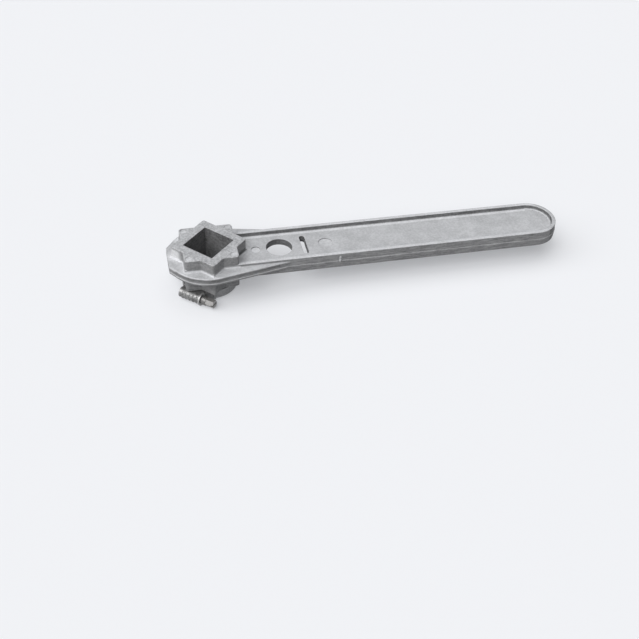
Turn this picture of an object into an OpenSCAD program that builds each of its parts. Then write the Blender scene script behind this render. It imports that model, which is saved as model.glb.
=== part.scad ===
// Lever wrench with an eight-pointed star hub and a worm-drive clamp below it.
// Millimetres. The socket axis is Z, the handle runs along +X and the parting plane of the
// casting is z = 0.

/* [Head] */
// Width across the flats of the square drive socket
socket_af = 32; // [28:0.25:32]
// Side of each of the two crossed squares that make the star
star_side = 48; // [47:0.25:49]
// Height of the star hub, half above and half below the parting plane
hub_h = 33.6; // [28:0.2:38]
// Rounding of the four star tips that lie along and across the handle
sharp_tip_r = 1.8; // [1:0.1:2.4]
// Rounding of the four star tips in between
blunt_tip_r = 3; // [2:0.1:4]
// Rounding in the eight notches of the star
notch_r = 2; // [1:0.25:3]
// Rounding of the top and bottom edges of the star
hub_edge_r = 0.7; // [0.3:0.1:0.9]
// Radius of the round head plate above the parting line
plate_r = 37.2; // [36.8:0.1:39]
// Distance from the socket axis to the flat where the head plate's end was trimmed
end_flat = 36.8; // [36:0.1:37.2]
// Height of the head plate's top above the parting plane
plate_top = 5.1; // [4:0.1:6]
// Depth of the head plate's underside below the parting plane, at its rim
plate_under = 2.2; // [2:0.1:3.5]
// Depth of the underside where it meets the star
plate_root = 5.2; // [4:0.1:6]
// Radius of the blend where the star stands on the plate and the web
root_blend = 2.2; // [1:0.2:2.4]

/* [Handle] */
// Distance from the socket axis to the end of the handle
reach = 332; // [280:1:380]
// Width of the handle above the parting line
handle_w = 48; // [47:0.25:49]
// Height of the handle over its rims
handle_t = 15; // [12:0.5:18]
// Thickness of the web between the channels
web_t = 6.4; // [5:0.2:8]
// Width of each rim along its top
rim_w = 3.6; // [3:0.1:5]
// Distance from the socket axis to the end of the head plate's flare
flare_x = 70; // [66:1:80]
// How far the lower half of the casting stands out below the parting line
parting_step = 0.45; // [0.3:0.05:0.6]

/* [Web] */
// Diameter of the round hole through the web
hole_d = 24; // [16:0.5:26]
// Place of the round hole along the handle
hole_x = 64; // [62:0.5:66]
// Length of the cross slot
slot_l = 26; // [20:0.5:28]
// Width of the cross slot
slot_w = 5; // [4.5:0.25:6]
// Place of the cross slot along the handle
slot_x = 87; // [84:0.5:90]
// Diameter of the ejector mark beside the star
web_mark_d = 8.4; // [6:0.2:10]
// Place of that ejector mark along the handle
web_mark_x = 42.4; // [41.5:0.2:43]
// Diameter of the bare round recess in the web
disc_mark_d = 13; // [10:0.5:16]
// Place of the round recess along the handle
disc_mark_x = 107; // [104:0.5:120]
// Diameter of the four ejector marks on the star
star_mark_d = 6; // [4:0.25:6.5]
// Distance of those marks from the socket axis
star_mark_r = 28; // [27:0.25:28.5]

/* [Skirt] */
// Inner radius of the slit skirt, which the band draws in
skirt_in_r = 22.8; // [22.7:0.05:23.2]
// Wall of the skirt
skirt_wall = 1.6; // [1.4:0.1:2]
// Depth of the skirt below the hub
skirt_h = 11; // [10.8:0.1:13]
// Width of the four slits in the skirt
slit_w = 3; // [2:0.25:4]

/* [Clamp] */
// Direction of the clamp housing, turned from the handle
clamp_turn = -130; // [-150:0.5:-110]
// Width of the clamp band
band_w = 8; // [7.5:0.25:9]
// Thickness of the clamp band
band_t = 0.7; // [0.6:0.05:0.8]
// Pitch of the slots that the worm drives, along the band
band_pitch = 2.4; // [2.2:0.1:3]
// Thickness of the saddle under the housing
saddle_t = 0.8; // [0.6:0.05:1]
// Sheet thickness of the housing
housing_t = 0.8; // [0.6:0.05:0.8]
// Core radius of the worm screw
worm_r = 2.3; // [2.2:0.05:2.4]
// Radius of the journals at the two ends of the worm
journal_r = 2.1; // [1.9:0.05:2.1]
// Running clearance round the journals
journal_gap = 0.05; // [0.03:0.01:0.08]
// Width across the flats of the screw head
hex_af = 7; // [6:0.25:7]
// Length of the screw head beyond its collar
hex_l = 8; // [6:0.5:10]

/* [Hidden] */
$fn = 64;
eps = 0.01;

cast_colour = [0.72, 0.73, 0.75];
band_colour = [0.66, 0.66, 0.67];
saddle_colour = [0.58, 0.58, 0.6];
housing_colour = [0.7, 0.69, 0.68];
screw_colour = [0.62, 0.61, 0.6];

// Head and handle
hub_z = hub_h / 2;
half_star = star_side / 2;
notch_at = half_star / cos(22.5);
rim_z = handle_t / 2;
floor_z = web_t / 2;
handle_half = handle_w / 2;
side_draft = 0.3;
rim_half = handle_half - side_draft;
rim_edge_r = 0.8;
channel_half = rim_half - rim_w;
channel_draft = 0.3;
channel_fillet = 1.6;
// Where one stretch runs on into the next, it is this much smaller or lower, so that no faces coincide
join_inset = 0.02;
flare_inset = 0.1;
flare_drop = 0.03;
handle_start = half_star - 4;
end_x = reach - handle_half;
plate_x = -0.7;
plate_edge_r = 1.3;
under_edge_r = 0.8;
plate_root_r = 26;
flare_end = [flare_x - plate_x, handle_half];
flare_turn = atan2(flare_end[0], flare_end[1]) - acos(plate_r / norm(flare_end));
flare_bury = 7.5;
flare_l = flare_end[0] * cos(flare_turn) - flare_end[1] * sin(flare_turn) + flare_bury;
end_turn = 127;
end_l = 22;
mark_depth = 0.8;
star_mark_depth = 0.5;
disc_mark_depth = 0.7;
blend_bury = 0.1;
blend_out_r = plate_r - plate_edge_r - 0.3;
blend_turn = 18;

// Skirt and clamp, with distances from the socket axis
skirt_r = skirt_in_r + skirt_wall;
skirt_root = 2;
slit_foot = 0.5;
half_band = band_w / 2;
band_gap = 0.05;
worm_gap = 0.65;
hub_gap = 0.3;
saddle_r = skirt_r + band_t;
saddle_top_r = saddle_r + saddle_t;
saddle_lip = 1.4;
tail_r = saddle_top_r + band_gap;
tail_top_r = tail_r + band_t;
worm_at = tail_top_r + worm_r + worm_gap;
housing_in = half_band + band_gap;
housing_out = housing_in + housing_t;
housing_back = -10.5;
housing_front = 9.5;
flange_r = housing_out + 1.15;
flange_t = 1.2;
clamp_z = -hub_z - flange_r - hub_gap;
nose_t = 0.8;
end_play = 0.2;
bead_r = 0.45;
bead_pitch = 3.6;
bead_arc = 110;
saddle_arc = 42;
collar_r = 4.2;
collar_t = 4.2;
collar_gap = 0.8;
drive_slot_w = 1.2;
drive_slot_depth = 2;
// The band starts under the saddle, goes round once, climbs over its own start and ends in a tail
band_start = -20;
climb_start = 310;
climb_end = 338;
tail_end = 404;
tail_plain = 5;
climb_lap = 1.5;
climb_steps = 16;
band_slot_w = 1;
band_slot_l = 5.4;
band_slot_lean = 8;
first_slot = climb_start + 4;

// A rectangle centred on the origin with round corners
module round_rect(w, h, r) {
    square([w - 2 * r, h], center = true);
    square([w, h - 2 * r], center = true);
    for (x = [-1, 1], y = [-1, 1])
        translate([x * (w / 2 - r), y * (h / 2 - r)]) circle(r);
}

// A square post with round corners and softened top and bottom edges
module soft_post(side, h, corner_r, edge_r) {
    for (turn = [0, 90])
        rotate([0, 0, turn]) rotate([90, 0, 90]) translate([0, 0, corner_r - side / 2])
            linear_extrude(side - 2 * corner_r) round_rect(side, h, edge_r);
    for (x = [-1, 1], y = [-1, 1])
        translate([x * (side / 2 - corner_r), y * (side / 2 - corner_r), 0])
            rotate_extrude() intersection() {
                round_rect(2 * corner_r, h, edge_r);
                translate([0, -h]) square([2 * corner_r, 2 * h]);
            }
}

// Fills one notch of the star up to a round of radius notch_r
module notch_fill() {
    lean = 67.5;
    run = notch_r / tan(lean);
    centre = notch_at + notch_r / sin(lean) - join_inset;
    difference() {
        polygon([
            [notch_at - 1, 0],
            [notch_at + run * cos(lean), -run * sin(lean)],
            [centre, 0],
            [notch_at + run * cos(lean), run * sin(lean)]
        ]);
        translate([centre, 0]) circle(notch_r);
    }
}

// The star: two crossed square posts, one with sharp tips and one with blunt tips
module star() {
    rotate([0, 0, 45]) soft_post(star_side, hub_h, sharp_tip_r, hub_edge_r);
    soft_post(star_side, hub_h, blunt_tip_r, hub_edge_r);
    for (k = [0 : 7])
        rotate([0, 0, 45 * k + 22.5]) translate([0, 0, hub_edge_r - hub_z])
            linear_extrude(hub_h - 2 * hub_edge_r) notch_fill();
}

// Section of the blend at the foot of one square of the star, in flats
module blend_section(ground) {
    wall = half_star - join_inset;
    foot = ground - blend_bury;
    flats = [for (a = [90 : -blend_turn : 0])
        [wall + root_blend * (1 - cos(a)), foot + root_blend * (1 - sin(a))]];
    right = concat([[wall + root_blend, 0]], flats);
    left = [for (k = [len(right) - 1 : -1 : 0]) [-right[k][0], right[k][1]]];
    polygon(concat(right, left));
}

// The blend between the star and the ground it stands on
module root_blend_at(ground) {
    span = star_side + 8 * root_blend;
    intersection() {
        union()
            for (turn = [0, 45]) rotate([0, 0, turn]) intersection_for (side = [0, 90])
                rotate([0, 0, side]) rotate([90, 0, 90]) translate([0, 0, -span / 2])
                    linear_extrude(span) blend_section(ground);
        translate([plate_x, 0, 0]) cylinder(r = blend_out_r, h = hub_z);
    }
}

// Section of the head plate: distance from the axis, height. Its top is flat and its underside falls
// away to the rim. Below the parting line it stands out by parting_step, with a round top
module plate_section() {
    shoulder = plate_r - plate_edge_r;
    top_edge = plate_top - plate_edge_r;
    out = plate_r + parting_step;
    low_shoulder = out - under_edge_r;
    low_edge = under_edge_r - plate_under;
    polygon([
        [0, -plate_root], [plate_root_r, -plate_root], [low_shoulder, -plate_under], [low_shoulder, low_edge],
        [out, low_edge], [out, -parting_step], [plate_r, -parting_step], [plate_r, top_edge],
        [shoulder, top_edge], [shoulder, plate_top], [0, plate_top]
    ]);
    translate([shoulder, top_edge]) circle(plate_edge_r);
    translate([plate_r, -parting_step]) circle(parting_step);
    translate([low_shoulder, low_edge]) circle(under_edge_r);
}

// A straight stretch of the head plate on each side, off the disc in one direction
module plate_run(turn, run) {
    for (side = [0, 1])
        mirror([0, side, 0]) rotate([0, 0, turn]) rotate([90, 0, 90])
            linear_extrude(run) translate([-flare_inset, -flare_drop]) plate_section();
}

// The head plate: a turned disc with straight flares into the handle and short straight sides to its
// end, which was trimmed flat
module plate() {
    difference() {
        translate([plate_x, 0, 0]) {
            rotate_extrude() plate_section();
            plate_run(-flare_turn, flare_l);
            plate_run(end_turn, end_l);
        }
        translate([-end_flat - plate_r, 0, 0]) cube([2 * plate_r, 2 * plate_r, handle_t], center = true);
    }
}

// Carries a section along the handle and round its end
module along_handle() {
    translate([handle_start, 0, 0]) rotate([90, 0, 90])
        linear_extrude(end_x - handle_start) children();
    translate([end_x, 0, 0]) rotate([0, 0, -90])
        rotate_extrude(angle = 180) intersection() {
            children();
            translate([0, -handle_t]) square([handle_w, 2 * handle_t]);
        }
}

// Outer section of the handle: drafted walls, stepped at the parting line
module handle_section() {
    top = rim_z - rim_edge_r;
    flat = rim_half - rim_edge_r;
    out = handle_half + parting_step;
    foot = out - side_draft;
    polygon([
        [handle_half, 0], [rim_half, top], [flat, rim_z], [-flat, rim_z], [-rim_half, top], [-handle_half, 0],
        [-handle_half, -parting_step], [-out, -parting_step], [-foot, -top], [rim_edge_r - foot, -rim_z],
        [foot - rim_edge_r, -rim_z], [foot, -top], [out, -parting_step], [handle_half, -parting_step]
    ]);
    for (side = [-1, 1]) {
        translate([side * flat, top]) circle(rim_edge_r);
        translate([side * (foot - rim_edge_r), -top]) circle(rim_edge_r);
        translate([side * handle_half, -parting_step]) circle(parting_step);
    }
}

// Section of the upper channel, with a round foot and a round lip
module channel_section() {
    foot = floor_z + channel_fillet;
    foot_half = channel_half - channel_draft;
    lip = rim_z - rim_edge_r;
    above = rim_z + 1;
    polygon([
        [-channel_half, above], [-channel_half, lip], [-foot_half, foot],
        [foot_half, foot], [channel_half, lip], [channel_half, above]
    ]);
    translate([channel_fillet - foot_half, floor_z])
        square([2 * (foot_half - channel_fillet), channel_fillet + eps]);
    for (side = [-1, 1]) {
        translate([side * (foot_half - channel_fillet), foot]) circle(channel_fillet);
        difference() {
            translate([side * (channel_half + rim_edge_r / 2), (lip + above) / 2])
                square([rim_edge_r + eps, above - lip], center = true);
            translate([side * (channel_half + rim_edge_r), lip]) circle(rim_edge_r);
        }
    }
}

// The round hole, the slot and the shallow marks of the web
module web_cuts() {
    translate([hole_x, 0, -handle_t]) cylinder(d = hole_d, h = 2 * handle_t);
    translate([slot_x, 0, -handle_t]) linear_extrude(2 * handle_t) {
        square([slot_w, slot_l - slot_w], center = true);
        for (y = [-1, 1]) translate([0, y * (slot_l - slot_w) / 2]) circle(d = slot_w);
    }
    translate([web_mark_x, 0, floor_z - mark_depth]) cylinder(d = web_mark_d, h = handle_t);
    translate([disc_mark_x, 0, floor_z - disc_mark_depth]) cylinder(d = disc_mark_d, h = handle_t);
}

// Shallow marks on the blunt tips of the star
module star_marks() {
    for (k = [0 : 3])
        rotate([0, 0, 45 + 90 * k]) translate([star_mark_r, 0, hub_z - star_mark_depth])
            cylinder(d = star_mark_d, h = hub_h);
}

// The thin skirt below the hub, slit into four fingers
module skirt() {
    difference() {
        translate([0, 0, -hub_z - skirt_h]) cylinder(r = skirt_r, h = skirt_h + skirt_root);
        for (turn = [0, 90])
            rotate([0, 0, turn]) translate([0, 0, -hub_z - skirt_h / 2 - slit_foot])
                cube([4 * skirt_r, slit_w, skirt_h], center = true);
    }
}

// The one casting: star, plate and handle, with the socket and the skirt
module lever() {
    color(cast_colour) difference() {
        union() {
            difference() {
                union() {
                    plate();
                    root_blend_at(plate_top);
                    along_handle() handle_section();
                }
                for (side = [0, 1]) mirror([0, 0, side]) along_handle() channel_section();
                web_cuts();
            }
            star();
            for (side = [0, 1]) mirror([0, 0, side]) root_blend_at(floor_z);
            skirt();
        }
        rotate([0, 0, 45]) cube([socket_af, socket_af, 2 * hub_h], center = true);
        translate([0, 0, -hub_z - skirt_h - 1]) cylinder(r = skirt_in_r, h = skirt_h + 1);
        star_marks();
    }
}

// Places the clamp's own frame: X outwards through the worm, Y along the worm, Z up
module at_clamp() {
    rotate([0, 0, clamp_turn]) translate([0, 0, clamp_z]) children();
}

// Part of a band ring between two angles
module band_arc(inner_r, from, to) {
    rotate([0, 0, from]) rotate_extrude(angle = to - from)
        translate([inner_r, -half_band]) square([band_t, band_w]);
}

// Inner radius of the climbing stretch, eased at both ends
function climb_r(a) =
    let (f = min(max((a - climb_start) / (climb_end - climb_start), 0), 1))
    let (ease = f * f * (3 - 2 * f))
    skirt_r + (tail_r - skirt_r) * ease;

// The stretch where the band climbs over its own start, lapped into the arcs at its ends
module band_climb() {
    from = climb_start - climb_lap;
    step = (climb_end + climb_lap - from) / climb_steps;
    angles = [for (k = [0 : climb_steps]) from + k * step];
    inner = [for (a = angles) (climb_r(a) + join_inset) * [cos(a), sin(a)]];
    outer = [for (k = [climb_steps : -1 : 0])
        (climb_r(angles[k]) + band_t - join_inset) * [cos(angles[k]), sin(angles[k])]];
    translate([0, 0, join_inset - half_band])
        linear_extrude(band_w - 2 * join_inset) polygon(concat(inner, outer));
}

// The band: once round the skirt, over its own start and on to a slotted tail
module clamp_band() {
    step = band_pitch / tail_r * 180 / PI;
    last = floor((tail_end - tail_plain - first_slot) / step);
    color(band_colour) at_clamp() difference() {
        union() {
            band_arc(skirt_r, band_start, climb_start);
            band_climb();
            band_arc(tail_r, climb_end, tail_end);
        }
        for (a = [first_slot : step : first_slot + last * step + eps])
            rotate([0, 0, a]) translate([climb_r(a) + band_t / 2, 0, 0])
                rotate([-band_slot_lean, 0, 0])
                    cube([2 * band_t, band_slot_w, band_slot_l], center = true);
    }
}

// The saddle: a curved plate on the band's start, with lips that carry the housing
module clamp_saddle() {
    lip_r = saddle_top_r + saddle_lip;
    color(saddle_colour) at_clamp() rotate([0, 0, -saddle_arc / 2])
        rotate_extrude(angle = saddle_arc) polygon([
            [saddle_r, -housing_out], [lip_r, -housing_out], [lip_r, -housing_in],
            [saddle_top_r, -housing_in], [saddle_top_r, housing_in],
            [lip_r, housing_in], [lip_r, housing_out], [saddle_r, housing_out]
        ]);
}

// Section of the housing: two legs and a round crown over the worm
module housing_section() {
    difference() {
        union() {
            circle(housing_out);
            translate([-worm_at, -housing_out]) square([worm_at, 2 * housing_out]);
        }
        circle(housing_in);
        translate([-worm_at - 1, -housing_in]) square([worm_at + 1, 2 * housing_in]);
    }
}

// A round plate across the worm with its bearing hole
module worm_bearing(y, r, t, pin_r) {
    translate([worm_at, y, 0]) rotate([-90, 0, 0]) difference() {
        cylinder(r = r, h = t);
        translate([0, 0, -1]) cylinder(r = pin_r + journal_gap, h = t + 2);
    }
}

// The housing: a ribbed sheet bent over the worm, closed by a bearing plate at each end
module clamp_housing() {
    length = housing_front - housing_back;
    color(housing_colour) at_clamp() difference() {
        union() {
            translate([worm_at, housing_front, 0]) rotate([90, 0, 0])
                linear_extrude(length) housing_section();
            for (k = [-2 : 2])
                translate([worm_at, bead_pitch * k + (housing_front + housing_back) / 2, 0])
                    rotate([90, 0, 0]) rotate([0, 0, -bead_arc / 2])
                        rotate_extrude(angle = bead_arc) translate([housing_out, 0]) circle(bead_r);
            worm_bearing(housing_front, flange_r, flange_t, journal_r);
            worm_bearing(housing_back - nose_t, housing_out, nose_t, journal_r);
        }
        translate([0, 0, -2 * band_w]) cylinder(r = saddle_top_r + saddle_lip, h = 4 * band_w);
    }
}

// The screw: worm core, journals, collar and slotted hexagon head
module clamp_screw() {
    front = housing_front + flange_t + collar_gap;
    back = housing_back + end_play;
    color(screw_colour) at_clamp() translate([worm_at, 0, 0]) rotate([-90, 0, 0]) difference() {
        union() {
            translate([0, 0, back]) cylinder(r = worm_r, h = housing_front - end_play - back);
            translate([0, 0, housing_back - nose_t - end_play])
                cylinder(r = journal_r, h = front - housing_back + nose_t + end_play + 1);
            translate([0, 0, front]) cylinder(r = collar_r, h = collar_t);
            translate([0, 0, front + collar_t - eps])
                cylinder(d = hex_af / cos(30), h = hex_l, $fn = 6);
        }
        translate([0, 0, front + collar_t + hex_l])
            cube([2 * hex_af, drive_slot_w, 2 * drive_slot_depth], center = true);
    }
}

lever();
clamp_band();
clamp_saddle();
clamp_housing();
clamp_screw();
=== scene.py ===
"""Looks of a die-cast lever wrench with a star hub and a worm-drive clamp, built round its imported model."""

import logging
import math
import random
from collections.abc import Iterable
from dataclasses import dataclass, replace
from enum import Enum

import bmesh
import bpy
from mathutils import Matrix, Vector, noise


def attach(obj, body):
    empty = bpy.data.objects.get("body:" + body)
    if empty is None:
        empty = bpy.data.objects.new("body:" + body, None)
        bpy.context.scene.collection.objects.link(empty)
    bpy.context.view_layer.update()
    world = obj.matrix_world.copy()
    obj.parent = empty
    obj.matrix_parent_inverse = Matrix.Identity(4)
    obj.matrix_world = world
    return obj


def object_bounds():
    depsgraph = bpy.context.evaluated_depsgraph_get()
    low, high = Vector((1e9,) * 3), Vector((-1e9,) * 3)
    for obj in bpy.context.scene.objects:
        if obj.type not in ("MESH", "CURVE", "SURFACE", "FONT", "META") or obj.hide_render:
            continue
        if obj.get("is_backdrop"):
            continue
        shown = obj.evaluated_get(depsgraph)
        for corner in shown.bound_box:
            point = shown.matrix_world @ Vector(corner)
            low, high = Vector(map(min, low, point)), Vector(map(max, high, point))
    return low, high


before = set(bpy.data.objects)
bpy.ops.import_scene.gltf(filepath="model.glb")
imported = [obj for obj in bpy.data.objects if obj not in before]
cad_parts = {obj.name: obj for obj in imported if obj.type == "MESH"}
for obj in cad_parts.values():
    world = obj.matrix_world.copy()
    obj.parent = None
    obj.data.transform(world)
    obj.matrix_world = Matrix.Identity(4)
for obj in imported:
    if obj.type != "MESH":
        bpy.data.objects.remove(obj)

LOG = logging.getLogger("lever_wrench")
MERGE_GAP = 1e-7

Socket = bpy.types.NodeSocket
Colour = tuple[float, float, float]
Point = tuple[float, float, float]
Span = tuple[float, float]

# The usual range and the middle of a noise pattern, and the range of a swing to both sides
NOISE_SPAN: Span = (0.3, 0.7)
NOISE_MIDDLE = 0.5
SWING: Span = (-1.0, 1.0)

# Likeness of the rounded and the plain normal, from a plain face to a worn edge
EDGE_TURN: Span = (0.995, 0.86)
EDGE_SAMPLES = 6


class Body(Enum):
    """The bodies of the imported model."""

    LEVER = "lever"
    SCREW = "screw"


class Slot(Enum):
    """The record's material slots."""

    CAST = "cast_aluminium"
    BAND = "band_steel"
    HOUSING = "housing_steel"
    SCREW = "screw_steel"


class Grain(Enum):
    """The way a steel surface was drawn or turned: the stretch of its pattern in the clamp's own frame."""

    ROUND_HUB = (0.12, 0.05, 1.0)
    ALONG_WORM = (1.0, 0.05, 1.0)
    ROUND_WORM = (0.1, 1.0, 0.1)


class Wiring:
    """Adds and links the nodes of one material or world."""

    def __init__(self, tree: bpy.types.NodeTree) -> None:
        """Start from an empty node tree."""
        self.tree = tree
        tree.nodes.clear()

    def node(self, kind: str, inputs: dict | None = None, **settings: object) -> bpy.types.Node:
        """Add one node.

        Args:
            kind: Blender's name of the node type.
            inputs: Values or sockets by the name or number of the input that takes them.
            **settings: Properties of the node.

        Returns:
            The new node.
        """
        made = self.tree.nodes.new(kind)
        for name, value in settings.items():
            setattr(made, name, value)
        for key, value in (inputs or {}).items():
            if isinstance(value, Socket):
                self.tree.links.new(value, made.inputs[key])
            else:
                made.inputs[key].default_value = value
        return made

    def math(self, operation: str, *values: Socket | float) -> Socket:
        """Work out one number from one to three others."""
        return self.node("ShaderNodeMath", dict(enumerate(values)), operation=operation).outputs[0]

    def vector(
        self, operation: str, first: Socket | tuple, second: Socket | tuple, out: str = "Vector",
    ) -> Socket:
        """Work out a vector, or a number of it, from two others."""
        return self.node("ShaderNodeVectorMath", {0: first, 1: second}, operation=operation).outputs[out]

    def axes(self, vector: Socket) -> bpy.types.NodeOutputs:
        """Split a vector into its three numbers."""
        return self.node("ShaderNodeSeparateXYZ", {0: vector}).outputs

    def span(self, value: Socket, source: Span, target: Span = (0.0, 1.0)) -> Socket:
        """Carry one span of numbers smoothly over to another.

        Args:
            value: The number.
            source: Span that it comes from, at whose ends it is held.
            target: Span that it goes to.

        Returns:
            The number in the new span.
        """
        ends = {"From Min": source[0], "From Max": source[1], "To Min": target[0], "To Max": target[1]}
        made = self.node("ShaderNodeMapRange", {"Value": value, **ends}, interpolation_type="SMOOTHSTEP")
        return made.outputs[0]

    def mix(self, share: Socket | float, first: Socket | Colour, second: Socket | Colour) -> Socket:
        """Blend two colours."""
        ends = [end if isinstance(end, Socket) else (*end, 1.0) for end in (first, second)]
        return self.node("ShaderNodeMix", {0: share, 6: ends[0], 7: ends[1]}, data_type="RGBA").outputs[2]

    def tint(self, colour: Socket | Colour, factor: Socket) -> Socket:
        """Brighten or darken a colour by a factor."""
        grey = self.node("ShaderNodeCombineXYZ", {0: factor, 1: factor, 2: factor}).outputs[0]
        return self.vector("MULTIPLY", colour, grey)


def new_material(name: str) -> tuple[bpy.types.Material, Wiring]:
    """Make an empty node material.

    Args:
        name: Name of the material.

    Returns:
        The material and the wiring of its nodes.
    """
    material = bpy.data.materials.new(name)
    material.use_nodes = True
    return material, Wiring(material.node_tree)


def surface(board: Wiring, inputs: dict) -> None:
    """Close a material with one shader.

    Args:
        board: The material's wiring.
        inputs: Values and sockets of the shader.
    """
    shader = board.node("ShaderNodeBsdfPrincipled", inputs)
    board.node("ShaderNodeOutputMaterial", {"Surface": shader.outputs[0]})


def worn_edges(board: Wiring, radius: float) -> tuple[Socket, Socket]:
    """Round the edges of a surface and find them.

    Args:
        board: The material's wiring.
        radius: Radius of the edges.

    Returns:
        The rounded normal, and one on the edges and nothing elsewhere.
    """
    rounded = board.node("ShaderNodeBevel", {"Radius": radius}, samples=EDGE_SAMPLES).outputs[0]
    plain = board.node("ShaderNodeNewGeometry").outputs["Normal"]
    return rounded, board.span(board.vector("DOT_PRODUCT", rounded, plain, "Value"), EDGE_TURN)


def dress(piece: bpy.types.Object, material: bpy.types.Material) -> None:
    """Give a piece one material."""
    piece.data.materials.clear()
    piece.data.materials.append(material)


def roughen(verts: Iterable[bmesh.types.BMVert], amount: float, waves: float, seed: float = 0.0) -> None:
    """Push the points of a lump unevenly in and out.

    Args:
        verts: Points round the origin.
        amount: Largest share that a point moves by.
        waves: Waves to the unit of length.
        seed: Number that sets the unevenness.
    """
    for vert in verts:
        vert.co *= 1.0 + amount * noise.noise(vert.co * waves + Vector((seed, 0.0, 0.0)))


def finished(bm: bmesh.types.BMesh, name: str, body: Body) -> bpy.types.Object:
    """Close a modelled mesh into a piece of the object.

    Args:
        bm: The mesh, in place in the part's frame. It is freed.
        name: Name of the piece.
        body: Body that the piece rides on.

    Returns:
        The new piece.
    """
    bmesh.ops.remove_doubles(bm, verts=bm.verts, dist=MERGE_GAP)
    bmesh.ops.recalc_face_normals(bm, faces=bm.faces)
    mesh = bpy.data.meshes.new(name)
    bm.to_mesh(mesh)
    bm.free()
    piece = bpy.data.objects.new(name, mesh)
    bpy.context.scene.collection.objects.link(piece)
    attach(piece, body.value)
    return piece


@dataclass(frozen=True)
class Pattern:
    """A noise pattern: waves to the metre, finer octaves, the share of each, and its stretch."""

    scale: float
    detail: float
    roughness: float
    stretch: Point = (1.0, 1.0, 1.0)

    def build(self, board: Wiring, where: Socket) -> Socket:
        """Add the pattern to a material.

        Args:
            board: The material's wiring.
            where: Place on the piece.

        Returns:
            The pattern, about 0.5 on average.
        """
        drawn = board.vector("MULTIPLY", where, self.stretch)
        settings = {"Vector": drawn, "Scale": self.scale, "Detail": self.detail, "Roughness": self.roughness}
        return board.node("ShaderNodeTexNoise", settings).outputs["Fac"]


@dataclass(frozen=True)
class Mark:
    """A smooth round face in the casting, such as an ejector pin leaves, the same in every quarter."""

    x: float
    y: float
    radius: float
    gain: float
    even_share: float = 0.9

    def build(self, board: Wiring, level: Socket) -> Socket:
        """Add the mark to a material.

        Args:
            board: The material's wiring.
            level: Place on the piece, folded into one quarter and laid flat.

        Returns:
            The mark's gain, nothing outside it.
        """
        away = board.vector("DISTANCE", level, (self.x, self.y, 0.0), "Value")
        return board.span(away, (self.radius, self.radius * self.even_share), (0.0, self.gain))


@dataclass(frozen=True)
class Patch:
    """A box-shaped region of the casting whose surface is lighter or darker than the rest.

    The box is folded about the handle's middle plane and, where mirrored, about the parting plane.
    """

    low: Point
    high: Point
    gain: float = 1.0
    mirrored: bool = True
    soft: float = 0.0003

    def mask(self, board: Wiring, where: Socket) -> Socket:
        """Build the region.

        Args:
            board: The material's wiring.
            where: Place on the piece.

        Returns:
            One inside the region, nothing outside.
        """
        axes = board.axes(where)
        total = 1.0
        for axis in range(3):
            along = axes[axis]
            if axis == 1 or (axis == 2 and self.mirrored):
                along = board.math("ABSOLUTE", along)
            for edge, inwards in ((self.low[axis], self.soft), (self.high[axis], -self.soft)):
                total = board.math("MULTIPLY", board.span(along, (edge - inwards, edge + inwards)), total)
        return total


def patch_gain(
    board: Wiring, where: Socket, patches: tuple[Patch, ...], start: Socket | float,
) -> Socket:
    """Add up the gains of some patches.

    Args:
        board: The material's wiring.
        where: Place on the piece.
        patches: The patches.
        start: Gain that they are added to.

    Returns:
        The sum.
    """
    total = start
    for patch in patches:
        total = board.math("MULTIPLY_ADD", patch.mask(board, where), patch.gain, total)
    return total


@dataclass(frozen=True)
class CastSpot:
    """What the casting's material reads at a spot of the surface."""

    where: Socket
    height: Socket
    flat: Socket
    upright: Socket
    speckle: Socket
    grain: Socket
    streak: Socket


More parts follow.
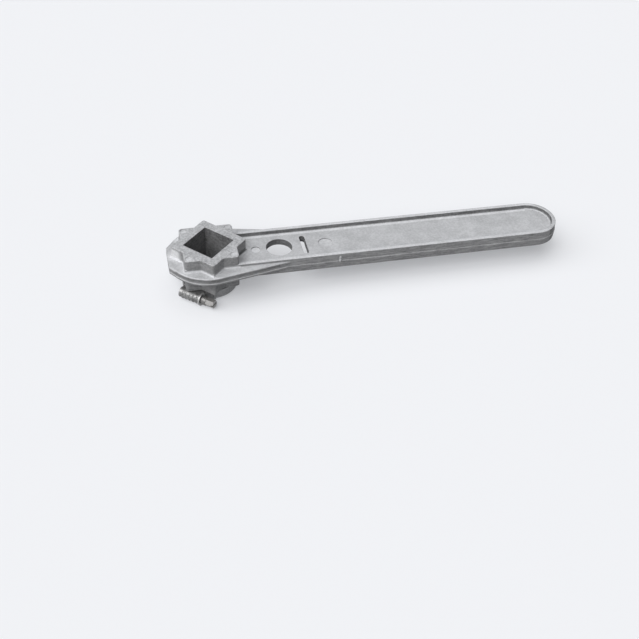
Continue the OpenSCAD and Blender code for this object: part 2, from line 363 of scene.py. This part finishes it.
@dataclass(frozen=True)
class CastFinish:
    """Die-cast aluminium, tumbled: speckled faces, streaked walls, rims partly rubbed, with painted
    highlights and painted shade.
    """

    face: Colour = (0.42, 0.425, 0.437)
    # Upright walls take this darker colour: partly dull as-cast skin, partly painted shade.
    wall_skin_and_shade: Colour = (0.270, 0.271, 0.275)
    worn: Colour = (0.60, 0.605, 0.615)
    metallic: float = 0.2
    edge_r: float = 0.0006
    edge_wear: float = 0.35
    face_lean: Span = (0.15, 0.75)

    # Patterns in the metal
    cloud: Pattern = Pattern(75.0, 4.0, 0.55)
    cloud_shade: Span = (0.92, 1.08)
    speckle: Pattern = Pattern(520.0, 3.0, 0.7)
    speckle_span: Span = (0.36, 0.64)
    speckle_height: Span = (0.008, 0.015)
    speckle_shade: Span = (0.10, 0.21)
    grain: Pattern = Pattern(2600.0, 2.0, 0.6)
    grain_span: Span = (0.35, 0.65)
    grain_shade: Span = (-0.06, 0.06)
    streak: Pattern = Pattern(780.0, 5.0, 0.7, (0.12, 0.3, 1.0))
    streak_span: Span = (0.34, 0.66)
    streak_shade: float = 0.12
    drawn_side: Patch = Patch((0.045, 0.0228, 0.0), (0.310, 0.0260, 0.0090), 0.24, soft=0.004)

    # Gloss and relief
    dullness: Span = (0.5, 0.64)
    wall_dullness: float = 0.06
    wear_gloss: float = 0.12
    grain_relief: float = 0.6
    relief_strength: float = 0.35
    relief_depth: float = 0.00022

    # Trimmed parting line
    seam_along: Span = (0.020, 0.060)
    seam_height: Span = (0.0006, -0.0001)
    seam_wander: Pattern = Pattern(130.0, 4.0, 0.55)
    seam_play: float = 0.0022
    seam_fade: Span = (0.0011, 0.0003)
    seam_breaks: Span = (0.42, 0.62)
    seam_wear: float = 0.38
    seam_inside: Patch = Patch((-0.026, 0.0, 0.0), (0.312, 0.0229, 0.030))

    # Painted highlight at the foot of the star, and smooth round faces
    foot_fade: Span = (0.0305, 0.0255)
    foot_top: float = 0.0078
    foot_highlight_gain: float = 0.23
    plate_mark: Mark = Mark(0.0424, 0.0, 0.0041, 0.38)
    star_mark: Mark = Mark(0.0198, 0.0198, 0.0029, 0.26)
    web_recess: Mark = Mark(0.107, 0.0, 0.0064, 0.12)

    # Painted highlights and painted shade on faces; the rim tops are partly rubbed metal
    # Rim tops lighter: partly rubbed metal, partly painted highlight
    rim_top_wear_and_highlight: Patch = Patch((0.030, 0.0190, 0.0070), (0.333, 0.0240, 0.0080), 0.20)
    # Painted highlight on the fillet at the foot of the channel's walls
    channel_foot_highlight: Patch = Patch((0.026, 0.0164, 0.0028), (0.310, 0.0191, 0.0037), 0.36)
    # Painted shade on the lower, sloping part of the channel's walls
    channel_fillet_shade: Patch = Patch((0.026, 0.0192, 0.0034), (0.310, 0.0206, 0.0066), -0.42)
    # Painted shade on the upward face of the parting step along the handle
    parting_step_shade: Patch = Patch((0.055, 0.0236, 0.0), (0.333, 0.0250, 0.0010), -0.5)
    # Painted shade on the top of the star
    hub_top_shade: Patch = Patch((-0.036, 0.0, 0.0160), (0.036, 0.036, 0.0175), -0.12)
    # More painted shade on the tops of the star's front and back tips
    side_tips_shade: Patch = Patch((-0.009, 0.0240, 0.0160), (0.009, 0.0370, 0.0175), -0.1, soft=0.002)
    # Takes back part of the painted highlight at the foot of the left tip
    left_foot_less_highlight: Patch = Patch(
        (-0.0365, 0.0, 0.0049), (-0.0245, 0.0200, 0.0078), -0.07, mirrored=False, soft=0.001)

    # Painted shade on walls, and a painted highlight on the star's left tip
    # Painted shade inside the square socket
    socket_wall_shade: Patch = Patch((-0.0230, 0.0, 0.0), (0.0230, 0.0230, 0.0164), -0.4)
    # Painted shade on the channel's walls
    channel_wall_shade: Patch = Patch((0.026, 0.0, 0.0), (0.333, 0.0206, 0.0080), -0.48)
    # Painted highlight on the walls of the star's left tip
    left_tip_highlight: Patch = Patch(
        (-0.0400, 0.0, 0.0035), (-0.0268, 0.0200, 0.0150), 1.7, mirrored=False, soft=0.002)
    # Painted shade on the plate's rim at the left
    rim_left_shade: Patch = Patch((-0.0385, 0.0, 0.0017), (-0.0260, 0.0385, 0.0045), -0.22, mirrored=False)
    # Painted shade on the plate's rim at the sides
    rim_sides_shade: Patch = Patch((-0.0260, 0.0215, 0.0017), (0.060, 0.0385, 0.0045), -0.26, mirrored=False)
    # Painted shade on the far left end of the plate's rim
    left_end_shade: Patch = Patch((-0.0385, 0.0, -0.0030), (-0.0362, 0.0160, 0.0045), -0.2, mirrored=False)

    def spot(self, board: Wiring) -> CastSpot:
        """Read what the other methods need.

        Args:
            board: The material's wiring.

        Returns:
            The place, how level the surface is there, and the patterns that are used more than once.
        """
        place = board.node("ShaderNodeTexCoord").outputs
        where = place["Object"]
        lean = board.axes(place["Normal"])[2]
        flat = board.span(board.math("ABSOLUTE", lean), self.face_lean)
        return CastSpot(
            where=where,
            height=board.axes(where)[2],
            flat=flat,
            upright=board.math("SUBTRACT", 1.0, flat),
            speckle=self.speckle.build(board, where),
            grain=self.grain.build(board, where),
            streak=self.streak.build(board, where),
        )

    def mark_gain(self, board: Wiring, spot: CastSpot) -> Socket:
        """Brighten the smooth round faces.

        Args:
            board: The material's wiring.
            spot: Spot of the surface.

        Returns:
            The gain, nothing outside the marks.
        """
        folded = board.node("ShaderNodeVectorMath", {0: spot.where}, operation="ABSOLUTE").outputs[0]
        level = board.vector("MULTIPLY", folded, (1.0, 1.0, 0.0))
        total = 0.0
        for mark in (self.plate_mark, self.star_mark, self.web_recess):
            total = board.math("ADD", mark.build(board, level), total)
        return total

    def foot_mask(self, board: Wiring, spot: CastSpot) -> Socket:
        """Follow the foot of the star, where two crossed squares stand on the plate.

        Args:
            board: The material's wiring.
            spot: Spot of the surface.

        Returns:
            One close to the star's walls, nothing further out or up on the star.
        """
        axes = board.axes(spot.where)
        across, along = (board.math("ABSOLUTE", axes[k]) for k in (0, 1))
        straight = board.math("MAXIMUM", across, along)
        turned = board.math("MULTIPLY", board.math("ADD", across, along), math.sqrt(0.5))
        near = board.span(board.math("MINIMUM", straight, turned), self.foot_fade)
        low = board.math("LESS_THAN", board.math("ABSOLUTE", spot.height), self.foot_top)
        return board.math("MULTIPLY", near, low)

    def seam(self, board: Wiring, spot: CastSpot) -> Socket:
        """Draw the trimmed parting line, which wanders, breaks off and lies higher round the head.

        Args:
            board: The material's wiring.
            spot: Spot of the surface.

        Returns:
            One on the line, nothing elsewhere.
        """
        middle = board.span(board.axes(spot.where)[0], self.seam_along, self.seam_height)
        wander = board.math("SUBTRACT", self.seam_wander.build(board, spot.where), NOISE_MIDDLE)
        above = board.math("SUBTRACT", spot.height, middle)
        away = board.math("ABSOLUTE", board.math("MULTIPLY_ADD", wander, self.seam_play, above))
        whole = board.span(away, self.seam_fade)
        line = board.math("MULTIPLY", whole, board.span(spot.streak, self.seam_breaks))
        outside = board.math("SUBTRACT", 1.0, self.seam_inside.mask(board, spot.where))
        return board.math("MULTIPLY", board.math("MULTIPLY", line, outside), spot.upright)

    def shade(self, board: Wiring, spot: CastSpot) -> Socket:
        """Work out how light the metal is, from its patterns and from patches of painted highlight and
        painted shade.

        Args:
            board: The material's wiring.
            spot: Spot of the surface.

        Returns:
            A factor of the metal's plain colour.
        """
        cloud = board.span(self.cloud.build(board, spot.where), NOISE_SPAN, self.cloud_shade)
        total = board.math("ADD", cloud, board.span(spot.grain, self.grain_span, self.grain_shade))

        coarse = board.span(board.math("ABSOLUTE", spot.height), self.speckle_height, self.speckle_shade)
        speckle = board.span(spot.speckle, self.speckle_span, SWING)
        total = board.math("MULTIPLY_ADD", speckle, coarse, total)

        side = self.drawn_side.mask(board, spot.where)
        depth = board.math("MULTIPLY_ADD", side, self.drawn_side.gain, self.streak_shade)
        bands = board.math("MULTIPLY", board.span(spot.streak, self.streak_span, SWING), depth)
        total = board.math("MULTIPLY_ADD", bands, spot.upright, total)

        marks = self.mark_gain(board, spot)
        # Painted highlight along the foot of the star, added to the smooth round faces
        faces = board.math("MULTIPLY_ADD", self.foot_mask(board, spot), self.foot_highlight_gain, marks)
        # Face patches: painted highlights and painted shade, the rim tops partly rubbed metal
        faces = patch_gain(board, spot.where, (
            self.rim_top_wear_and_highlight, self.channel_foot_highlight, self.channel_fillet_shade, self.parting_step_shade,
            self.hub_top_shade, self.side_tips_shade, self.left_foot_less_highlight), faces)
        # Wall patches: painted shade in recesses and on the rim, painted highlight on the left tip
        walls = patch_gain(board, spot.where, (
            self.socket_wall_shade, self.channel_wall_shade, self.left_tip_highlight,
            self.rim_left_shade, self.rim_sides_shade, self.left_end_shade), 0.0)
        total = board.math("MULTIPLY_ADD", faces, spot.flat, total)
        return board.math("MULTIPLY_ADD", walls, spot.upright, total)

    def material(self) -> bpy.types.Material:
        """Build the material.

        Returns:
            The material, with speckle, draw streaks, painted shade in recesses and on walls, painted
            highlights, a trimmed parting line and worn edges.
        """
        material, board = new_material(Slot.CAST.value)
        spot = self.spot(board)
        rounded, edge = worn_edges(board, self.edge_r)
        edge_wear = board.math("MULTIPLY", edge, self.edge_wear)
        seam_wear = board.math("MULTIPLY", self.seam(board, spot), self.seam_wear)
        wear = board.math("MAXIMUM", edge_wear, seam_wear)

        # Darker upright walls: partly as-cast skin, partly painted shade.
        plain = board.mix(spot.flat, self.wall_skin_and_shade, self.face)
        colour = board.mix(wear, board.tint(plain, self.shade(board, spot)), self.worn)

        dull = board.span(spot.speckle, NOISE_SPAN, self.dullness)
        dull = board.math("MULTIPLY_ADD", spot.upright, self.wall_dullness, dull)
        rough = board.math("SUBTRACT", dull, board.math("MULTIPLY", wear, self.wear_gloss))

        relief = board.math("MULTIPLY_ADD", spot.grain, self.grain_relief, spot.speckle)
        relief = board.math("MULTIPLY_ADD", spot.streak, spot.upright, relief)
        bump = board.node("ShaderNodeBump", {
            "Strength": self.relief_strength, "Distance": self.relief_depth,
            "Height": relief, "Normal": rounded})
        surface(board, {
            "Base Color": colour, "Metallic": self.metallic, "Roughness": rough, "Normal": bump.outputs[0]})
        return material


@dataclass(frozen=True)
class ClampFrame:
    """Place of the clamp: X outwards through the worm's axis, Y along the worm, Z up the socket's axis."""

    turn: float = math.radians(-130.0)
    worm_at: float = 0.0296
    height: float = -0.0231

    def worm_axis(self) -> Matrix:
        """Give the move that carries a worm modelled along Y at the origin to its place."""
        place = Matrix.Translation((self.worm_at, 0.0, self.height))
        return Matrix.Rotation(self.turn, 4, "Z") @ place


@dataclass(frozen=True)
class SteelFinish:
    """Stainless strip or turned steel: brushed one way, a little stained, bright along its edges.

    A length of the worm's axis may carry a painted highlight.
    """

    slot: Slot
    colour: Colour
    grain: Grain
    roughness: float = 0.42
    metallic: float = 0.75
    worn: Colour = (0.5, 0.49, 0.48)
    edge_r: float = 0.0002
    edge_wear: float = 0.55
    brush: Pattern = Pattern(5200.0, 3.0, 0.6)
    brush_shade: Span = (0.9, 1.1)
    brush_dullness: Span = (-0.07, 0.07)
    stain: Pattern = Pattern(520.0, 4.0, 0.6)
    stain_span: Span = (0.34, 0.66)
    stain_dark: float = 0.04
    stain_dullness: Span = (0.1, -0.04)
    mottle: float = 0.1
    relief_strength: float = 0.2
    relief_depth: float = 0.00006
    # Painted highlight on a length of the worm's axis, none by default
    highlight_along: Span = (0.0, 0.0)
    highlight_gain: float = 0.0

    def shade(self, board: Wiring, own: Socket, brush: Socket, stain: Socket) -> Socket:
        """Work out how light the steel is.

        Args:
            board: The material's wiring.
            own: Place in the clamp's own frame.
            brush: Pattern of the grain.
            stain: Pattern of the stains.

        Returns:
            A factor of the steel's plain colour.
        """
        mottle = (-self.mottle - self.stain_dark, self.mottle - self.stain_dark)
        total = board.math(
            "ADD", board.span(brush, NOISE_SPAN, self.brush_shade),
            board.span(stain, self.stain_span, mottle))
        if self.highlight_gain:
            along = board.axes(own)[1]
            after = board.math("GREATER_THAN", along, self.highlight_along[0])
            before = board.math("LESS_THAN", along, self.highlight_along[1])
            highlight_band = board.math("MULTIPLY", after, before)
            total = board.math("MULTIPLY_ADD", highlight_band, self.highlight_gain, total)
        return total

    def material(self, clamp: ClampFrame) -> bpy.types.Material:
        """Build the material.

        Args:
            clamp: Place of the clamp, which the grain follows.

        Returns:
            The material, with grain, stains and worn edges.
        """
        material, board = new_material(self.slot.value + "_" + self.grain.name.lower())
        own = board.node("ShaderNodeMapping", {
            "Vector": board.node("ShaderNodeTexCoord").outputs["Object"],
            "Rotation": (0.0, 0.0, -clamp.turn),
            "Location": (-clamp.worm_at, 0.0, -clamp.height)}).outputs[0]
        brush = replace(self.brush, stretch=self.grain.value).build(board, own)
        stain = self.stain.build(board, own)
        rounded, edge = worn_edges(board, self.edge_r)

        plain = board.tint(self.colour, self.shade(board, own, brush, stain))
        colour = board.mix(board.math("MULTIPLY", edge, self.edge_wear), plain, self.worn)
        dull = (self.roughness + self.stain_dullness[0], self.roughness + self.stain_dullness[1])
        rough = board.math(
            "ADD", board.span(brush, NOISE_SPAN, self.brush_dullness),
            board.span(stain, NOISE_SPAN, dull))
        bump = board.node("ShaderNodeBump", {
            "Strength": self.relief_strength, "Distance": self.relief_depth,
            "Height": brush, "Normal": rounded})
        surface(board, {
            "Base Color": colour, "Metallic": self.metallic, "Roughness": rough, "Normal": bump.outputs[0]})
        return material


@dataclass
class CastLever:
    """The one casting: star hub, head plate and channelled handle.

    Crumbs of flash lie along both sides of the handle and, at angles in degrees, round its end.
    """

    finish: CastFinish = CastFinish()
    half_width: float = 0.02445

    # Crumbs along both sides
    crumbs: int = 34
    crumb_seed: int = 11
    crumb_along: Span = (0.082, 0.300)
    crumb_length: Span = (0.003, 0.011)
    crumb_height: Span = (0.0004, 0.0009)
    crumb_level: Span = (-0.0007, 0.0001)
    crumb_out: float = 0.0007
    crumb_sunk: float = 0.0005
    crumb_uneven: float = 0.35
    crumb_waves: float = 2.6
    crumb_seed_step: float = 3.7

    # Crumbs round the end
    end_x: float = 0.308
    end_crumbs: int = 7
    end_first: float = -75.0
    end_apart: float = 25.0
    end_play: Span = (-6.0, 6.0)
    end_length: Span = (0.002, 0.005)
    end_height: float = 0.0006
    end_level: Span = (-0.0006, 0.0)
    end_seed_step: float = 5.1

    # Broken stub of the gate
    gate_x: float = 0.1155
    gate_z: float = 0.0018
    gate_size: Point = (0.0017, 0.0012, 0.0056)
    gate_sunk: float = 0.0004
    gate_bevel: float = 0.18
    gate_uneven: float = 0.3
    gate_waves: float = 3.1

    def build_crumb(self, bm: bmesh.types.BMesh, size: Point, place: Matrix, seed: float) -> None:
        """Add one small lump of trimmed flash.

        Args:
            bm: Mesh that takes the lump.
            size: Its length along the seam, how far it stands out, and its height.
            place: Where its middle goes, with X along the seam and Y outwards.
            seed: Number that sets its unevenness.
        """
        lump = bmesh.ops.create_icosphere(bm, subdivisions=2, radius=0.5)["verts"]
        roughen(lump, self.crumb_uneven, self.crumb_waves, seed)
        bmesh.ops.scale(bm, vec=size, verts=lump)
        bmesh.ops.transform(bm, matrix=place, verts=lump)

    def build_seam(self) -> bpy.types.Object:
        """Model the crumbs that trimming leaves along the handle's parting line.

        Returns:
            The piece, on both sides of the handle and round its end.
        """
        bm = bmesh.new()
        chance = random.Random(self.crumb_seed)
        out = self.half_width - self.crumb_sunk
        for k in range(self.crumbs):
            along = chance.uniform(*self.crumb_along)
            side = 1.0 if k % 2 else -1.0
            size = (chance.uniform(*self.crumb_length), self.crumb_out, chance.uniform(*self.crumb_height))
            place = Matrix.Translation((along, side * out, chance.uniform(*self.crumb_level)))
            self.build_crumb(bm, size, place, self.crumb_seed_step * k)
        for k in range(self.end_crumbs):
            angle = math.radians(self.end_first + self.end_apart * k + chance.uniform(*self.end_play))
            turn = Matrix.Rotation(angle - math.pi / 2, 4, "Z")
            reach = Matrix.Translation((0.0, out, chance.uniform(*self.end_level)))
            size = (chance.uniform(*self.end_length), self.crumb_out, self.end_height)
            place = Matrix.Translation((self.end_x, 0.0, 0.0)) @ turn @ reach
            self.build_crumb(bm, size, place, self.end_seed_step * k)
        return finished(bm, "flash_crumbs", Body.LEVER)

    def build_gate(self) -> bpy.types.Object:
        """Model the broken stub of the gate on the near side of the handle.

        Returns:
            The piece.
        """
        bm = bmesh.new()
        bmesh.ops.create_cube(bm, size=1.0)
        bmesh.ops.bevel(bm, geom=bm.edges[:], offset=self.gate_bevel, offset_type="OFFSET", affect="EDGES",
                        segments=2, profile=0.5, material=-1)
        bmesh.ops.subdivide_edges(bm, edges=bm.edges[:], cuts=2, use_grid_fill=True)
        roughen(bm.verts, self.gate_uneven, self.gate_waves)
        bmesh.ops.scale(bm, vec=self.gate_size, verts=bm.verts)
        place = (self.gate_x, -self.half_width + self.gate_sunk, self.gate_z)
        bmesh.ops.translate(bm, vec=place, verts=bm.verts)
        return finished(bm, "gate_stub", Body.LEVER)

    def build(self) -> list[bpy.types.Object]:
        """Dress the casting and add what trimming left on it.

        Returns:
            The casting, the crumbs and the stub.
        """
        plain = self.finish.material()
        broken = replace(self.finish, wall_skin_and_shade=self.finish.worn).material()
        lever, crumbs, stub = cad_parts["lever"], self.build_seam(), self.build_gate()
        dress(lever, plain)
        dress(crumbs, plain)
        dress(stub, broken)
        return [lever, crumbs, stub]


@dataclass
class BandClamp:
    """The clamp's sheet metal: the slotted band, its saddle and the ribbed housing, with a painted highlight
    on its flange.
    """

    place: ClampFrame
    # The clamp's steel colours are darker than bare steel: painted shade of the plate above the clamp.
    band: SteelFinish = SteelFinish(Slot.BAND, (0.29, 0.29, 0.292), Grain.ROUND_HUB)
    saddle: SteelFinish = SteelFinish(Slot.BAND, (0.28, 0.28, 0.282), Grain.ALONG_WORM, roughness=0.46)
    # The housing's flange carries a painted highlight.
    housing: SteelFinish = SteelFinish(
        Slot.HOUSING, (0.24, 0.238, 0.235), Grain.ALONG_WORM, roughness=0.44, mottle=0.26,
        highlight_along=(0.0095, 0.0108), highlight_gain=0.9)

    def build(self) -> list[bpy.types.Object]:
        """Dress the three pieces of sheet steel.

        Returns:
            The pieces.
        """
        finishes = {"clamp_band": self.band, "clamp_saddle": self.saddle, "clamp_housing": self.housing}
        for node, finish in finishes.items():
            dress(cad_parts[node], finish.material(self.place))
        return [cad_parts[node] for node in finishes]


@dataclass
class ClampScrew:
    """The worm screw: core, journals, collar and slotted hexagon head, which has a painted highlight, and its
    thread.
    """

    place: ClampFrame
    # The screw's colour is darker than bare steel: painted shade of the plate above it, with a painted
    # highlight on the hexagon head.
    finish: SteelFinish = SteelFinish(
        Slot.SCREW, (0.195, 0.190, 0.185), Grain.ROUND_WORM,
        highlight_along=(0.0157, 0.0300), highlight_gain=0.65)
    core_r: float = 0.0023
    sunk: float = 0.0002
    crest_r: float = 0.00288
    root_w: float = 0.0011
    crest_w: float = 0.0005
    pitch: float = 0.0024
    start: float = -0.008835
    turns: int = 7
    steps: int = 40

    def build_thread(self) -> bpy.types.Object:
        """Model the thread, which runs in the slots of the band.

        Returns:
            The thread, one closed ridge round the worm's core.
        """
        bm = bmesh.new()
        root_r = self.core_r - self.sunk
        corners = [(-root_r, -self.root_w), (-self.crest_r, -self.crest_w),
                   (-self.crest_r, self.crest_w), (-root_r, self.root_w)]
        verts = [bm.verts.new((x, self.start + y / 2, 0.0)) for x, y in corners]
        loop = [bm.edges.new((verts[k], verts[(k + 1) % len(verts)])) for k in range(len(verts))]
        bmesh.ops.spin(bm, geom=verts + loop, cent=(0.0, 0.0, 0.0), axis=(0.0, 1.0, 0.0),
                       dvec=(0.0, self.pitch / self.steps, 0.0), angle=math.tau * self.turns,
                       steps=self.steps * self.turns, use_merge=False)
        bmesh.ops.holes_fill(bm, edges=[e for e in bm.edges if e.is_boundary], sides=0)
        bmesh.ops.transform(bm, matrix=self.place.worm_axis(), verts=bm.verts)
        return finished(bm, "worm_thread", Body.SCREW)

    def build(self) -> list[bpy.types.Object]:
        """Dress the screw and add its thread.

        Returns:
            The screw and the thread.
        """
        material = self.finish.material(self.place)
        pieces = [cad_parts["clamp_screw"], self.build_thread()]
        for piece in pieces:
            dress(piece, material)
        return pieces


@dataclass(frozen=True)
class Lamp:
    """One soft studio lamp, far off, as wide as its spread in degrees."""

    name: str
    towards: Point
    level: float
    spread: float

    def build(self) -> None:
        """Hang the lamp."""
        light = bpy.data.lights.new(self.name, "SUN")
        light.energy = self.level * math.pi
        light.angle = math.radians(self.spread)
        lamp = bpy.data.objects.new(self.name, light)
        lamp.rotation_euler = Vector(self.towards).to_track_quat("Z", "Y").to_euler()
        bpy.context.scene.collection.objects.link(lamp)


@dataclass
class Studio:
    """Floor, surroundings, lamps and camera."""

    floor_half: float = 4.0
    floor_seen: Colour = (0.805, 0.813, 0.835)
    floor_bounce: Colour = (0.18, 0.18, 0.184)
    floor_glow: float = 0.36
    floor_roughness: float = 0.9
    sky_seen: Colour = (0.871, 0.887, 0.921)
    sky_level: float = 0.13
    lamps: tuple[Lamp, ...] = (
        Lamp("key", (-0.64, -0.10, 0.76), 0.66, 60.0),
        Lamp("front", (-0.35, -0.60, 0.70), 0.40, 40.0),
        Lamp("top", (0.05, 0.25, 1.0), 0.19, 50.0),
    )
    camera_place: Point = (-0.07174, -0.6647, 0.54122)
    camera_right: Point = (0.97483, -0.21856, 0.04396)
    camera_down: Point = (-0.1169, -0.66904, -0.73398)
    camera_ahead: Point = (0.18982, 0.71037, -0.67775)
    camera_near: float = 0.01
    focal_px: float = 950.0
    frame_px: float = 639.0
    sensor_mm: float = 36.0

    def seen_directly(self, board: Wiring) -> Socket:
        """Tell the camera's view and clear reflections from scattered light.

        Args:
            board: Wiring of the floor's material or of the world.

        Returns:
            One for what is seen, nothing for scattered light.
        """
        rays = board.node("ShaderNodeLightPath").outputs
        seen = board.math("MAXIMUM", rays["Is Camera Ray"], rays["Is Glossy Ray"])
        return board.math("MAXIMUM", seen, rays["Is Transmission Ray"])

    def floor_material(self) -> bpy.types.Material:
        """Build the floor's material.

        Returns:
            The material, pale where it is seen and with part of that as a glow, so that shadows stay pale.
        """
        material, board = new_material("pale_floor")
        seen = self.seen_directly(board)
        lit = tuple(part * (1.0 - self.floor_glow) for part in self.floor_seen)
        surface(board, {
            "Base Color": board.mix(seen, self.floor_bounce, lit),
            "Roughness": self.floor_roughness,
            "Specular IOR Level": 0.0,
            "Emission Color": (*self.sky_seen, 1.0),
            "Emission Strength": board.math("MULTIPLY", seen, self.floor_glow)})
        return material

    def build_floor(self, level: float) -> None:
        """Lay the floor.

        Args:
            level: Height of the floor.
        """
        bm = bmesh.new()
        bmesh.ops.create_grid(bm, x_segments=1, y_segments=1, size=self.floor_half)
        bmesh.ops.translate(bm, vec=(0.0, 0.0, level), verts=bm.verts)
        mesh = bpy.data.meshes.new("floor")
        bm.to_mesh(mesh)
        bm.free()
        floor = bpy.data.objects.new("floor", mesh)
        bpy.context.scene.collection.objects.link(floor)
        dress(floor, self.floor_material())
        floor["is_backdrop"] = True

    def build_sky(self) -> None:
        """Surround the object with even soft light."""
        world = bpy.data.worlds.new("studio")
        world.use_nodes = True
        board = Wiring(world.node_tree)
        soft = (self.sky_level, self.sky_level, self.sky_level)
        colour = board.mix(self.seen_directly(board), soft, self.sky_seen)
        back = board.node("ShaderNodeBackground", {"Color": colour})
        board.node("ShaderNodeOutputWorld", {"Surface": back.outputs[0]})
        bpy.context.scene.world = world

    def build_camera(self) -> None:
        """Set the camera at the photograph's viewing angle."""
        data = bpy.data.cameras.new("camera")
        data.sensor_width = self.sensor_mm
        data.lens = self.focal_px * self.sensor_mm / self.frame_px
        data.clip_start = self.camera_near
        camera = bpy.data.objects.new("camera", data)
        axes = (Vector(self.camera_right), -Vector(self.camera_down), -Vector(self.camera_ahead))
        turn = Matrix(axes).transposed()
        camera.matrix_world = Matrix.Translation(self.camera_place) @ turn.to_4x4()
        bpy.context.scene.collection.objects.link(camera)
        bpy.context.scene.camera = camera

    def build(self, level: float) -> None:
        """Build the studio.

        Args:
            level: Height of the floor.
        """
        self.build_floor(level)
        self.build_sky()
        for lamp in self.lamps:
            lamp.build()
        self.build_camera()
        bpy.context.scene.view_settings.view_transform = "Standard"


def main() -> None:
    """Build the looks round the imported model."""
    logging.basicConfig(level=logging.INFO, format="%(name)s: %(message)s")
    low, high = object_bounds()
    clamp = ClampFrame()
    for assembly in (CastLever(), BandClamp(clamp), ClampScrew(clamp)):
        for piece in assembly.build():
            LOG.info("%s in %s", piece.name, piece.data.materials[0].name)
    Studio().build(low.z)
    LOG.info("floor at %.4f m", low.z)


if __name__ == "__main__":
    main()
